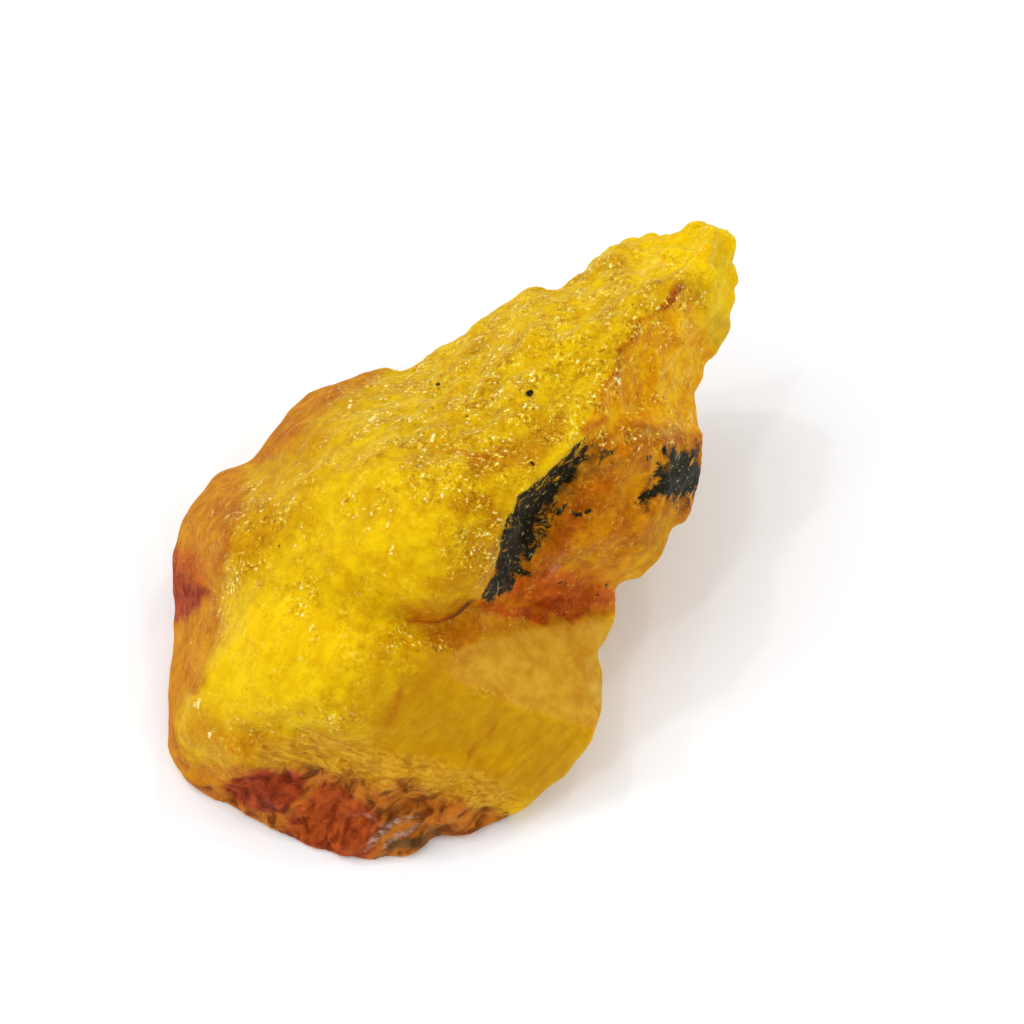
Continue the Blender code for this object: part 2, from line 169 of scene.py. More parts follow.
FACET_RUST = (
    Line(0.62, 1.0, ((-2.8, -8.2, 0.1), (-3.0, -9.0, 0.15), (-3.1, -9.7, 0.35))),
    Line(0.5, 1.6, ((-3.2, -10.2, 0.4), (-3.8, -11.2, 0.5))),
    Line(0.66, 0.8, ((3.1, -11.1, 0.05), (2.6, -11.9, 0.2), (2.3, -12.3, 0.1))),
    Line(0.6, 1.2, ((1.9, -12.4, 0.1), (1.3, -13.1, 0.35), (1.1, -13.6, 0.15))),
    Line(0.5, 0.8, ((4.4, -11.4, 0.08), (3.6, -12.9, 0.16))),
    Line(0.48, 0.8, ((0.2, -10.2, 0.08), (-0.7, -11.7, 0.16))),
)
SCRATCHES = (
    Line(0.75, 0.3, ((-1.5, -6.3, 0.05), (-0.8, -6.8, 0.12))),
    Line(0.6, 0.3, ((-0.2, -7.1, 0.04), (0.3, -7.4, 0.08))),
    Line(0.6, 0.3, ((1.9, -6.3, 0.04), (2.4, -6.5, 0.07))),
    Line(0.42, 0.5, ((6.2, -7.8, 0.05), (6.8, -8.4, 0.12))),
    Line(0.6, 0.3, ((4.0, -13.0, 0.04), (3.6, -13.6, 0.08), (3.9, -14.3, 0.04))),
)
WINE = (
    Patch(0.95, 0.8, (
        (-18.4, -2.2), (-17.0, -2.7), (-15.6, -2.7), (-14.9, -3.3), (-16.2, -4.6), (-17.6, -5.3),
        (-18.6, -5.1))),
    Line(0.75, 1.5, ((-18.0, -0.6, 0.5), (-17.5, -2.6, 0.6))),
    Patch(1.0, 0.5, (
        (-14.6, -15.6), (-12.8, -14.7), (-11.6, -13.9), (-10.3, -14.4), (-9.0, -15.0), (-9.6, -16.4),
        (-10.9, -17.4), (-12.5, -17.0), (-13.8, -16.4))),
)
EMBER = (
    Patch(0.95, 0.9, (
        (-10.4, -17.2), (-9.0, -15.9), (-7.6, -15.3), (-5.4, -16.2), (-4.4, -17.4), (-4.8, -19.2),
        (-5.4, -20.6), (-8.6, -20.0), (-10.6, -18.6))),
    Line(0.5, 0.8, ((-8.4, -14.6, 0.2), (-7.8, -15.4, 0.3))),
    Line(0.4, 1.0, ((8.0, -3.9, 0.3), (9.4, -3.9, 0.3))),
)
STREAK = (
    Line(0.65, 0.8, ((-7.0, -14.2, 0.2), (-9.2, -16.1, 0.2), (-10.4, -17.4, 0.2), (-9.8, -18.6, 0.15))),
    Line(0.85, 1.2, ((-16.4, -15.6, 0.3), (-14.2, -16.9, 0.4), (-12.0, -18.2, 0.5), (-10.0, -19.6, 0.4))),
    Line(0.6, 0.8, ((-0.6, -17.4, 0.2), (0.8, -17.9, 0.3), (2.4, -17.6, 0.2))),
)
# The clean ledge, the glittering grains outside the sugar, which get painted glints and painted hollow shade
# as well as real gloss and bumps, and the black crust with its specks
LEDGE = Line(1.0, 0.3, (
    (1.4, -3.5, 0.5), (2.0, -2.0, 0.45), (2.5, -0.6, 0.4), (2.9, 1.0, 0.4), (3.3, 2.2, 0.5), (4.0, 3.3, 0.5),
    (4.8, 4.0, 0.6), (5.8, 4.9, 0.6), (6.8, 5.9, 0.6), (8.0, 7.0, 0.6)))
GLITTER = (
    Line(0.4, 1.6, ((-13.0, -12.0, 0.6), (-9.0, -11.2, 0.6), (-6.0, -11.6, 0.5))),
    Line(0.8, 1.8, ((-12.6, 3.2, 0.4), (-11.4, 1.8, 0.8), (-12.0, 0.6, 0.3))),
    Line(0.7, 1.6, ((-12.4, -1.6, 0.3), (-13.6, -2.8, 0.4), (-14.4, -6.0, 0.2))),
    Line(0.9, 1.6, ((-8.6, -3.2, 0.5), (-9.6, -4.8, 0.5), (-8.2, -5.4, 0.4))),
    Line(0.7, 1.6, ((-9.4, 0.4, 0.3), (-8.8, -0.6, 0.3))),
    Line(0.8, 1.8, ((-6.2, 2.4, 0.4), (-5.0, 1.8, 0.6), (-3.6, 2.8, 0.3))),
    Line(0.7, 1.6, ((-3.2, -6.0, 0.4), (-1.0, -6.6, 0.4), (0.8, -7.2, 0.3))),
    Line(0.9, 0.7, ((1.2, -9.0, 0.15), (3.8, -9.9, 0.2))),
    Line(0.5, 1.2, ((9.4, 6.3, 0.4), (12.6, 6.8, 0.5))),
    Line(0.5, 1.0, ((7.4, 5.2, 0.3), (8.8, 6.0, 0.4))),
    Line(0.8, 0.8, ((-11.6, 5.4, 0.3), (-10.2, 4.8, 0.2))),
)
CRUST = (
    Patch(0.84, 0.8, (
        (1.6, -3.6), (2.2, -2.6), (2.6, -1.3), (3.0, 0.0), (3.5, 1.9), (4.2, 2.8), (5.3, 3.7), (6.6, 4.7),
        (7.6, 5.5), (8.5, 6.2), (8.7, 5.2), (7.6, 3.6), (6.7, 2.8), (6.1, 1.9), (5.9, 1.0), (5.5, 0.0),
        (5.0, -0.9), (4.6, -1.5), (4.9, -2.4), (4.0, -3.1), (2.8, -3.9))),
    Patch(1.0, 1.0, (
        (2.3, -2.6), (2.9, -1.0), (3.4, 0.8), (3.9, 2.2), (5.0, 3.4), (6.0, 4.0), (6.3, 3.2), (5.9, 2.2),
        (5.5, 1.0), (4.9, -0.4), (4.2, -1.6), (3.2, -2.8))),
    Patch(0.55, 1.0, (
        (2.4, -3.6), (4.6, -3.0), (5.0, -1.6), (6.0, -0.4), (6.6, 1.0), (7.4, 2.2), (8.0, 3.6),
        (9.4, 4.8), (10.4, 5.6), (8.6, 6.1), (6.8, 5.8), (5.4, 4.2), (4.4, 2.6), (3.6, 0.4))),
    Patch(1.0, 1.0, (
        (11.7, 1.9), (12.2, 3.2), (12.9, 3.7), (12.8, 4.2), (13.4, 4.7), (13.3, 5.6), (14.0, 6.0),
        (14.5, 5.1), (15.0, 5.0), (15.0, 5.9), (15.6, 6.0), (15.9, 5.4), (15.5, 4.4), (16.2, 4.2),
        (15.6, 3.0), (15.1, 2.3), (13.9, 2.7), (13.0, 2.6), (12.4, 2.3))),
    Line(0.66, 1.0, ((9.3, 4.8, 0.4), (10.1, 5.4, 0.4))),
    Patch(0.5, 1.2, ((12.0, 1.8), (15.4, 1.6), (16.4, 6.4), (13.4, 6.6), (12.6, 4.6))),
    Line(0.85, 0.45, ((6.8, 2.0, 0.15), (7.3, 2.0, 0.2))),
    Line(0.9, 0.4, ((7.7, 1.4, 0.12), (8.3, 1.7, 0.2))),
    Line(0.9, 0.4, ((6.5, -2.7, 0.1), (7.3, -2.7, 0.16))),
)
SPECKS = tuple(
    Line(0.95, 0.2, ((across, up, size), (across + size, up + size * 0.4, size * 0.6)))
    for across, up, size in (
        (-0.8, 9.7, 0.12), (4.9, 9.1, 0.2), (1.0, 7.7, 0.08), (0.7, 8.3, 0.06), (-10.6, -0.4, 0.1),
        (-5.1, -0.4, 0.08), (5.1, 4.7, 0.16), (12.4, 5.1, 0.12), (9.2, -3.5, 0.1), (9.8, -2.9, 0.12),
        (14.6, 15.9, 0.1), (11.4, 14.8, 0.1), (11.0, 14.5, 0.08), (8.4, 6.3, 0.12), (14.2, 2.0, 0.1),
        (10.1, 2.1, 0.06),
    )
)
# The crack, the ash-grey veins, the brown scabs and a dark brown line along the ledge, the painted glints,
# the painted highlights on the lumps, the pale places, the painted shade in the dents, and the dusky places
CRACK = (Line(1.0, 0.4, ((1.5, -3.7, 0.1), (0.7, -4.4, 0.16), (0.0, -4.9, 0.14), (-0.9, -5.1, 0.06))),)
ASH = (
    Line(0.6, 0.7, ((-6.6, -17.1, 0.1), (-4.9, -17.4, 0.15), (-4.1, -18.0, 0.2))),
    Line(0.8, 0.7, ((-5.6, -19.6, 0.1), (-4.1, -18.2, 0.3), (-1.9, -17.2, 0.1))),
    Line(0.8, 0.6, ((-4.4, -19.4, 0.1), (-3.2, -18.6, 0.2), (-1.6, -17.9, 0.1))),
    Line(0.45, 0.8, ((7.2, 0.0, 0.1), (6.6, -1.4, 0.25), (5.8, -2.6, 0.15))),
)
KNOBS = (
    # A dark brown line along the edge of the ledge, next to the crust
    Line(0.6, 1.0, ((2.1, -2.6, 0.15), (2.7, -1.0, 0.3), (3.1, 0.6, 0.25), (3.4, 1.8, 0.1))),
    Line(0.48, 2.4, ((6.6, 3.2, 0.5), (8.4, 4.5, 0.8), (10.6, 4.8, 0.8))),
    Line(0.45, 2.2, ((5.0, -3.0, 0.5), (6.3, -1.2, 0.9), (8.4, -0.6, 0.6))),
    Line(0.9, 0.7, ((-3.8, -19.2, 0.4), (-2.0, -19.0, 0.4))),
    Line(0.75, 0.9, ((-1.2, -18.5, 0.4), (-0.6, -18.4, 0.3))),
)
# Painted wet glints: small pale spots, broken up by the crinkles into flecks of painted highlight
PAINTED_GLINT_SPOTS = tuple(
    Line(0.9, 0.5, ((across, up, size / 2), (across + size / 2, up + size, size / 3)))
    for across, up, size in (
        (-15.0, 1.6, 0.22), (-11.9, -2.9, 0.22), (-9.4, -4.7, 0.2), (-8.5, -5.5, 0.28), (-15.8, -10.4, 0.4),
        (-15.0, -12.2, 0.35), (-16.6, 1.0, 0.12), (-16.4, -6.4, 0.12), (-6.4, 8.4, 0.3), (-9.2, -4.0, 0.25),
        (3.2, 11.9, 0.3), (2.7, 11.3, 0.26), (2.3, 10.2, 0.22), (3.1, 9.1, 0.3), (2.5, 8.8, 0.16),
        (1.2, 8.9, 0.2), (1.7, 9.6, 0.22), (6.8, 13.4, 0.24), (5.6, 13.8, 0.16), (3.9, 12.9, 0.2),
        (7.4, 14.4, 0.26), (10.5, 9.8, 0.34), (4.8, 11.8, 0.18), (0.4, 5.2, 0.3), (1.1, 7.2, 0.3),
        (3.8, 6.5, 0.2), (5.2, 10.3, 0.16), (-4.9, 7.4, 0.4), (-4.6, 7.0, 0.3), (-5.2, 6.8, 0.3),
        (-1.1, 6.2, 0.4), (-1.6, 5.6, 0.3), (0.6, 5.0, 0.3), (-0.5, 2.6, 0.3), (-1.9, 3.0, 0.2),
        (-3.8, 0.8, 0.24), (-3.6, -0.7, 0.26), (-3.6, 1.8, 0.2), (-4.8, 1.6, 0.2), (-5.1, 0.5, 0.24),
        (-4.0, -2.1, 0.2), (-8.9, 0.0, 0.2), (1.9, 4.0, 0.26),
    )
)
# Painted highlights: pale glassy edges on the tip's lumps, and one on the top facet
LUMP_HIGHLIGHTS = (
    Line(0.4, 2.2, ((8.4, -7.2, 0.5), (9.6, -10.4, 0.7))),
    Line(0.6, 1.3, ((12.2, 16.9, 0.2), (13.0, 17.3, 0.25), (13.7, 17.0, 0.15))),
    Line(0.5, 1.1, ((15.0, 18.4, 0.15), (15.2, 19.0, 0.2))),
    Line(0.45, 1.2, ((12.3, 14.9, 0.2), (12.6, 15.4, 0.2))),
    Line(0.45, 1.2, ((17.2, 15.4, 0.2), (17.4, 16.4, 0.2))),
    Line(0.4, 1.2, ((16.4, 18.4, 0.2), (17.2, 18.0, 0.2))),
)
PALE_LIP = (Line(0.9, 0.4, ((3.4, 1.4, 0.1), (2.7, -0.6, 0.25), (2.2, -2.2, 0.28), (1.6, -3.4, 0.15))),)
PALE_RIM = (
    Line(0.45, 0.8, ((-16.6, 2.8, 0.3), (-14.2, 4.4, 0.3), (-12.0, 5.4, 0.2))),
    Line(0.5, 0.8, ((-10.0, 2.4, 0.1), (-8.4, 3.8, 0.2), (-6.2, 4.5, 0.3), (-3.6, 4.8, 0.2))),
    Line(0.68, 1.0, ((10.2, 6.3, 0.3), (11.8, 6.6, 0.5), (14.0, 6.8, 0.5))),
)
# Painted shade: darker olive and amber in the dents and along the ledge above the crust
DENT_SHADE = (
    Line(0.9, 1.6, ((-1.0, -2.9, 0.6), (1.4, -2.2, 1.0), (1.9, -0.2, 0.9), (2.8, 1.6, 0.5))),
    Line(1.0, 2.0, ((2.2, 4.6, 1.0), (4.6, 5.4, 1.1), (6.6, 6.9, 0.8))),
    Line(0.9, 1.6, ((0.4, 2.3, 0.6), (2.2, 2.2, 0.8), (3.0, 1.4, 0.5))),
)
DUSK = (
    Line(0.65, 2.2, ((-3.6, -6.2, 0.8), (-4.8, -9.0, 1.1), (-6.2, -11.2, 0.9))),
    Line(0.75, 1.8, ((-3.4, -5.4, 0.4), (-2.2, -6.6, 0.6), (-0.8, -7.0, 0.5))),
    Line(0.95, 1.2, ((-2.4, -7.4, 0.4), (-0.6, -8.1, 0.7), (1.4, -8.9, 0.6))),
    Line(0.55, 2.4, ((-2.0, 4.8, 1.0), (0.0, 6.0, 1.1), (0.2, 8.8, 0.9))),
)


def smoothstep(low, high, x):
    """0 below low, 1 above high, smooth between."""
    t = np.clip((x - low) / (high - low), 0, 1)
    return t * t * (3 - 2 * t)


def line_mask(line, at):
    """How strongly a line covers each point (across, up)."""
    cover = np.zeros(len(at))
    for (x0, y0, r0), (x1, y1, r1) in zip(line.points, line.points[1:]):
        start, along = np.array((x0, y0)), np.array((x1 - x0, y1 - y0))
        t = np.clip((at - start) @ along / (along @ along), 0, 1)
        gap = np.linalg.norm(at - start - t[:, None] * along, axis=1) - (r0 + t * (r1 - r0))
        cover = np.maximum(cover, 1 - smoothstep(-line.edge / 2, line.edge / 2, gap))
    return cover * line.strength


def patch_mask(patch, at):
    """How strongly a patch covers each point (across, up)."""
    nearest = np.full(len(at), np.inf)
    inside = np.zeros(len(at), bool)
    outline = patch.outline
    for (x0, y0), (x1, y1) in zip(outline, outline[1:] + outline[:1]):
        start, along = np.array((x0, y0)), np.array((x1 - x0, y1 - y0))
        t = np.clip((at - start) @ along / (along @ along), 0, 1)
        nearest = np.minimum(nearest, np.linalg.norm(at - start - t[:, None] * along, axis=1))
        crosses = (at[:, 1] < y0) != (at[:, 1] < y1)
        inside ^= crosses & (at[:, 0] < x0 + (at[:, 1] - y0) * (x1 - x0) / (y1 - y0 + TINY))
    gap = np.where(inside, -nearest, nearest)
    return (1 - smoothstep(-patch.edge, patch.edge, gap)) * patch.strength


def covered(marks, at):
    """How strongly the strongest of some marks covers each point (across, up)."""
    masks = [line_mask(m, at) if isinstance(m, Line) else patch_mask(m, at) for m in marks]
    return np.max(masks, axis=0)


def modified(bm, kind, **settings):
    """The bmesh after one modifier; the old one is freed."""
    mesh = bpy.data.meshes.new("working")
    bm.to_mesh(mesh)
    bm.free()
    obj = bpy.data.objects.new("working", mesh)
    bpy.context.scene.collection.objects.link(obj)
    modifier = obj.modifiers.new("step", kind)
    for name, value in settings.items():
        setattr(modifier, name, value)
    bpy.context.view_layer.update()
    made = bmesh.new()
    made.from_object(obj, bpy.context.evaluated_depsgraph_get())
    bpy.data.objects.remove(obj)
    bpy.data.meshes.remove(mesh)
    return made


def fine_surface(node):
    """The node's surface in small even quads, with its facets rounded off and its flat face kept."""
    bm = bmesh.new()
    bm.from_mesh(node.data)
    bmesh.ops.remove_doubles(bm, verts=bm.verts, dist=MERGE)
    crease = bm.edges.layers.float.new("crease_edge")
    for edge in bm.edges:
        if all(v.co.z < GROUND for v in edge.verts):
            edge[crease] = GROUND_CREASE
        elif edge.is_manifold and edge.calc_face_angle() > RIDGE_ANGLE:
            edge[crease] = RIDGE_CREASE
    bm = modified(bm, "SUBSURF", levels=ROUNDING, render_levels=ROUNDING)
    return modified(bm, "REMESH", mode="VOXEL", voxel_size=GRAIN_VOXEL * MM)


def in_face_frame(points):
    """Points of the resting frame, in the broad face's own."""
    matrix = np.array(FACE_TO_REST.inverted())
    return points @ matrix[:3, :3].T + matrix[:3, 3]


def noises(points, size, seed):
    """Noise at each point, given in mm."""
    shift = Vector((seed * 17.3, seed * 5.1, seed * 9.7))
    return np.array([noise.noise(Vector(p) / size + shift) for p in points])


def crumbs(points, size, seed):
    """Small flat grains that each tilt their own way: the height at each point, from -1 to 1."""
    shift = Vector((seed * 3.1, seed * 7.7, seed * 1.9))
    noise.seed_set(seed)  # the tilts would change from run to run without it
    heights = []
    for p in points:
        q = Vector(p) / size + shift
        _, places = noise.voronoi(q, distance_metric="DISTANCE", exponent=2)
        tilt = noise.noise_vector(places[0] * 3.7)
        heights.append((q - places[0]).dot(tilt) * 2)
    return np.array(heights)


def knobs(points, size, seed):
    """Round knobs side by side: the height at each point, from about 0.5 on top to -0.3 in the seams."""
    shift = Vector((seed * 2.3, seed * 6.1, seed * 4.7))
    return np.array([0.52 - noise.voronoi(Vector(p) / size + shift)[0][0] for p in points])


def wandering(face, size, reach, seed):
    """The places (across, up), pushed about by noise, so that the edges laid at them wander."""
    push = np.stack([noises(face, size, seed), noises(face, size, seed + 1)], axis=1)
    return face[:, :2] + reach * push


def front_masks(flat, at, torn):
    """Each finish's share on the broad face, from the exact places, wandering ones and torn ones."""
    amber = covered((HEEL, HEEL_GLOW, TOE_GLOW, SHOULDER, UNDER_CRACK), at)
    # The top facet pales towards the right: partly its milky straw colour, partly a painted reflection of
    # the light
    facet_milk_and_sheen = covered((TOP_FACET,), flat) * smoothstep(*MILK_AND_SHEEN_RISE, at[:, 0])
    crust = covered(CRUST, torn) * (1 - covered((LEDGE,), flat))
    return {
        "amber": np.maximum(amber, covered(DENT_SHADE, at) * DENT_SHADE_AMBER),
        "flank": covered((FLANK, HIGH_FLANK), at),
        "orange": covered((SHELF,), at) * (1 - covered((SHELF_EDGE,), at)),
        "rust": np.maximum(covered(RUST, at), covered(FACET_RUST, flat)),
        "wine": covered(WINE, at),
        "ember": covered(EMBER, at),
        "streak": covered(STREAK, at),
        "root": covered((ROOT,), at),
        # The toe's and tip's lemon, and the painted highlight on the arm
        "toe": covered((TOE, TIP, ARM_HIGHLIGHT), at),
        "belly": covered((BELLY,), at),
        "lumps": covered((TIP,), at),
        "facet_milk_and_sheen": np.maximum(facet_milk_and_sheen, covered(PALE_LIP + PALE_RIM, at)),
        "olive": np.maximum(covered((LOW_FACET,), flat), covered(DENT_SHADE + DUSK, at)),
        "lump_highlights": covered(LUMP_HIGHLIGHTS, at),
        "painted_glint_spots": covered(PAINTED_GLINT_SPOTS, flat),
        "crust": np.maximum(crust, covered(SPECKS, flat)),
        "ash": covered(ASH, at),
        "knobs": np.maximum(covered(KNOBS + CRACK, at), covered(SCRATCHES, flat)),
        "fibre": covered((FIBRE_BAND,), at),
        "facet": covered((TOP_FACET, LOW_FACET), flat),
        "sugar": covered((ARM, BROW), at),
        "glitter": covered(GLITTER, at),
    }


def back_masks(face):
    """Each finish's share on the hidden sides: clouds of amber, veins of rust and scabs of crust."""
    clouds, veins, scabs = noises(face, 6.0, 3), noises(face, 3.0, 4), noises(face, 4.0, 7)
    return {
        "amber": smoothstep(-0.2, 0.4, clouds) * 0.9,
        "rust": smoothstep(0.15, 0.5, veins) * 0.7,
        "crust": smoothstep(0.3, 0.62, scabs) * 0.9,
        "sugar": 0.6,
    }


def masks_of(points, normals):
    """Each finish's share at each point."""
    face = in_face_frame(points)
    facing = normals @ np.array(FACE_OUT)
    front = smoothstep(*FRONT_RISE, facing)
    shown = front_masks(face[:, :2], wandering(face, 1.6, 0.5, 1), wandering(face, 0.8, 0.8, 21))
    masks = {name: share * front for name, share in shown.items()}
    masks["sugar"] *= 1 - TIP_SMOOTHNESS * masks["lumps"]
    for name, share in back_masks(face).items():
        masks[name] = np.maximum(masks[name], share * (1 - front))
    masks["steep"] = 1 - smoothstep(*STEEP_FALL, abs(facing))
    return masks


def relief(points, masks):
    """How far each point rises along its normal, in mm."""
    mm = points / MM
    face = in_face_frame(points)
    plain = 1 - masks["facet"]
    grainy = masks["sugar"] + masks["flank"] + masks["orange"] * 0.7 + masks["crust"] * 0.4
    rough = np.clip(grainy, 0, 1) * plain
    waxy = (1 - rough) * plain
    shards = crumbs(face @ SHARD_SQUEEZE, 1.5, 3)
    fibres = noises(face @ FIBRE_SQUEEZE, 0.9, 6)
    height = rough * (0.07 * crumbs(mm, 1.4, 1) + 0.05 * crumbs(mm, 0.75, 2) + 0.18 * noises(mm, 1.1, 9))
    height += waxy * (0.07 * noises(mm, 2.4, 5) + 0.03 * noises(mm, 0.9, 8))
    height += masks["lumps"] * (knobs(mm, 1.7, 2) + 0.15 * noises(mm, 1.4, 11) - 0.1)
    height += masks["root"] * 0.28 * shards + masks["fibre"] * 0.16 * fibres + masks["knobs"] * 0.2
    return height * smoothstep(0.0, GROUND_MARGIN, mm[:, 2])


def stone(node):
    """The dressed stone: the fine surface with its relief, and each finish's mask painted on it."""
    bm = fine_surface(node)
    bm.normal_update()
    points = np.array([v.co for v in bm.verts])
    normals = np.array([v.normal for v in bm.verts])
    masks = masks_of(points, normals)
    points = points + normals * (relief(points, masks) * MM)[:, None]
    low, high = (np.array(corner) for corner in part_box(node.name))
    for vert, place in zip(bm.verts, np.clip(points, low, high)):
        vert.co = place
    mesh = bpy.data.meshes.new("sapphire_stone")
    bm.to_mesh(mesh)
    bm.free()
    for name, values in masks.items():
        attribute = mesh.attributes.new(name, "FLOAT", "POINT")
        attribute.data.foreach_set("value", values.astype(np.float32))
    mesh.shade_smooth()
    piece = bpy.data.objects.new("sapphire_stone", mesh)
    bpy.context.scene.collection.objects.link(piece)
    return piece


class Wire:
    """A socket that takes part in sums: an expression on wires adds its Math nodes."""

    def __init__(self, finish, socket):
        self.finish, self.socket = finish, socket

    def math(self, operation, *values):
        return self.finish.node("ShaderNodeMath", {"operation": operation}, *values)

    def __add__(self, other):
        return self.math("ADD", self, other)

    def __sub__(self, other):
        return self.math("SUBTRACT", self, other)

    def __rsub__(self, other):
        return self.math("SUBTRACT", other, self)

    def __mul__(self, other):
        return self.math("MULTIPLY", self, other)

    def most(self, other):
        return self.math("MAXIMUM", self, other)

    __radd__, __rmul__ = __add__, __mul__


class Finish:
    """A material and the nodes in it."""

    def __init__(self, name):
        self.material = bpy.data.materials.new(name)
        self.material.use_nodes = True
        self.tree = self.material.node_tree
        self.shader = self.tree.nodes["Principled BSDF"]

    def node(self, kind, settings, *values, out=0, **named):
        """Adds a node, sets it up and feeds it, and gives the wire of one of its outputs."""
        made = self.tree.nodes.new(kind)
        for name, value in settings.items():
            setattr(made, name, value)
        for key, value in (*enumerate(values), *named.items()):
            self.feed(made.inputs[key], value)
        return Wire(self, made.outputs[out])

    def feed(self, socket, value):
        """Links a wire or sets a plain value; None leaves the socket as it is."""
        if isinstance(value, Wire):
            self.tree.links.new(value.socket, socket)
        elif value is not None:
            socket.default_value = value

    def mask(self, name):
        return self.node("ShaderNodeAttribute", {"attribute_name": name}, out="Fac")

    def place(self):
        return self.node("ShaderNodeTexCoord", {}, out="Object")

    def along(self, where, angle, stretch):
        """Places in the face's frame, turned by angle in degrees and squeezed along that way."""
        turn = FACE_TURN @ Matrix.Rotation(math.radians(angle), 3, "Z")
        return self.node(
            "ShaderNodeMapping", {"vector_type": "TEXTURE"}, Vector=where, Rotation=turn.to_euler(),
            Scale=(stretch, 1, 1))

    def noise(self, where, size, detail=2.0, rough=0.5, distortion=0.0):
        """Noise from about 0 to 1, its features about size mm apart."""
        return self.node(
            "ShaderNodeTexNoise", {}, Vector=where, Scale=1 / (size * MM), Detail=detail,
            Roughness=rough, Distortion=distortion)

    def cells(self, where, size):
        """How far each place is from the middle of its cell; the cells are about size mm wide."""
        return self.node("ShaderNodeTexVoronoi", {}, Vector=where, Scale=1 / (size * MM), out="Distance")

    def step(self, low, high, value):
        """0 at low, 1 at high, smooth between."""
        settings = {"interpolation_type": "SMOOTHSTEP"}
        return self.node("ShaderNodeMapRange", settings, value, low, high, 0.0, 1.0)

    def blend(self, share, under, over, kind="MIX"):
        """One colour over another; the node's sockets for numbers and vectors stay empty."""
        settings = {"data_type": "RGBA", "blend_type": kind}
        unused = [None] * 5
        return self.node("ShaderNodeMix", settings, share, *unused, under, over, out=2)

    def tinted(self, share, under, tint):
        return self.blend(share, under, tint, "MULTIPLY")

    def bump(self, height, distance, normal=None):
        """The surface's slopes from a height of 0 to 1 that stands for distance mm."""
        return self.node(
            "ShaderNodeBump", {}, Strength=1.0, Distance=distance * MM, Height=height, Normal=normal)


def linear(shade):
    """A shade from 0 to 255, as a screen shows it, in linear light."""
    share = shade / 255
    return share / 12.92 if share <= 0.04045 else ((share + 0.055) / 1.055) ** 2.4


def paint(red, green, blue):
    """A colour from its shades from 0 to 255."""
    return linear(red), linear(green), linear(blue), 1


# Each tint is (in its hollows, on its swells)
GOLD = paint(196, 146, 2), paint(230, 192, 6)
LEMON = paint(226, 178, 2), paint(240, 206, 8)
AMBER = paint(164, 82, 2), paint(204, 134, 10)
ORANGE = paint(162, 78, 2), paint(214, 142, 6)
FLAME = paint(212, 130, 2), paint(240, 186, 8)
STRAW = paint(192, 130, 26), paint(212, 162, 50)
OLIVE = paint(184, 126, 2), paint(204, 152, 6)
BARK = paint(112, 50, 12), paint(196, 116, 32)
RUST_RED = paint(134, 34, 4), paint(196, 80, 10)
WINE_RED = paint(106, 18, 10), paint(172, 62, 32)
EMBER_RED = paint(118, 28, 8), paint(184, 80, 32)
STRAW_BROWN = paint(178, 96, 24), paint(212, 136, 56)
FIBRE_TAN = paint(168, 102, 12), paint(224, 172, 42)
ASH_GREY = paint(112, 74, 54), paint(208, 188, 176)
KNOB_BROWN = paint(52, 32, 16), paint(128, 88, 54)
# Pale cream, for the painted highlights on the lumps
HIGHLIGHT_CREAM = paint(236, 200, 84), paint(250, 236, 170)
FRINGE = paint(84, 46, 10), paint(140, 92, 26)
# Black, with a lighter grey on the crinkles' crests: partly the crust's own grey, partly a painted sheen
SOOT_AND_SHEEN = paint(9, 8, 8), paint(52, 50, 46)
# Painted glints, the painted shade of the hollows, and the tint of the dark grit
PAINTED_GLINT = paint(250, 224, 64)
PAINTED_SPARK = paint(255, 246, 165)
HOLLOW_SHADE = (0.62, 0.42, 0.2, 1)
GRIT_SHADE = (0.75, 0.6, 0.3, 1)
# The finishes from the ground up: mask, tint, how strong, how ragged its edge is
LAYERS = (
    ("belly", LEMON, 0.3, 0.5),
    ("toe", LEMON, 0.9, 0.5),
    ("olive", OLIVE, 0.9, 0.3),
    ("amber", AMBER, 0.95, 0.7),
    ("flank", FLAME, 0.95, 0.7),
    ("orange", ORANGE, 0.95, 0.5),
    # Milky straw: the lip's and rims' own colour, and on the top facet partly a painted reflection
    ("facet_milk_and_sheen", STRAW, 0.85, 0.3),
    ("root", BARK, 1.0, 0.2),
    ("rust", RUST_RED, 0.9, 0.8),
    ("ember", EMBER_RED, 0.95, 1.0),
    ("wine", WINE_RED, 0.95, 0.8),
    ("streak", STRAW_BROWN, 0.8, 0.8),
    ("fibre", FIBRE_TAN, 0.9, 1.5),
    ("knobs", KNOB_BROWN, 0.9, 0.4),
    ("ash", ASH_GREY, 0.65, 1.0),
    # Painted highlights on the lumps
    ("lump_highlights", HIGHLIGHT_CREAM, 0.85, 0.5),
)


